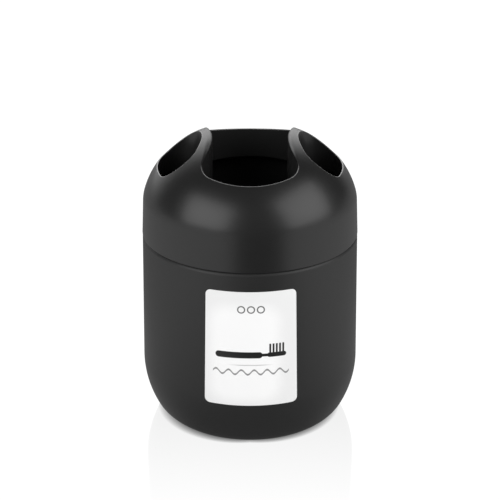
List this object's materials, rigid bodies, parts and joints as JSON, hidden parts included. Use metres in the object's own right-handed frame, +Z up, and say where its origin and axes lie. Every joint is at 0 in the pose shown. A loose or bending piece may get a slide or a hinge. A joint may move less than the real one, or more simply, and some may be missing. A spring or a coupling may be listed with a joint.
{
  "type": "toothbrush holder",
  "caption": "Round-footed cup with a domed lid that lifts off, a wide mouth for brushes and paste, and an oval brush hole on each side.",
  "frame": {"origin": "centre of the underside, on the surface that the holder stands on", "axes": "+Z up along the cup's axis, -Y towards the front with the label, +X to the right seen from the front"},
  "size_m": [0.086, 0.0863, 0.116],
  "materials": {
    "cup_plastic": "fine matte",
    "lid_plastic": "satin",
    "label_paper": "coated, semi-matte",
    "pad_rubber": "matte"
  },
  "bodies": {
    "cup": {"cup": "cup_plastic", "label": "label_paper", "base_pad": "pad_rubber"},
    "lid": {"lid": "lid_plastic"}
  },
  "joints": [
    {"name": "lid_lift", "type": "slide", "parent": "cup", "child": "lid", "axis": [0, 0, 1], "range_m": [0, 0.04]}
  ]
}
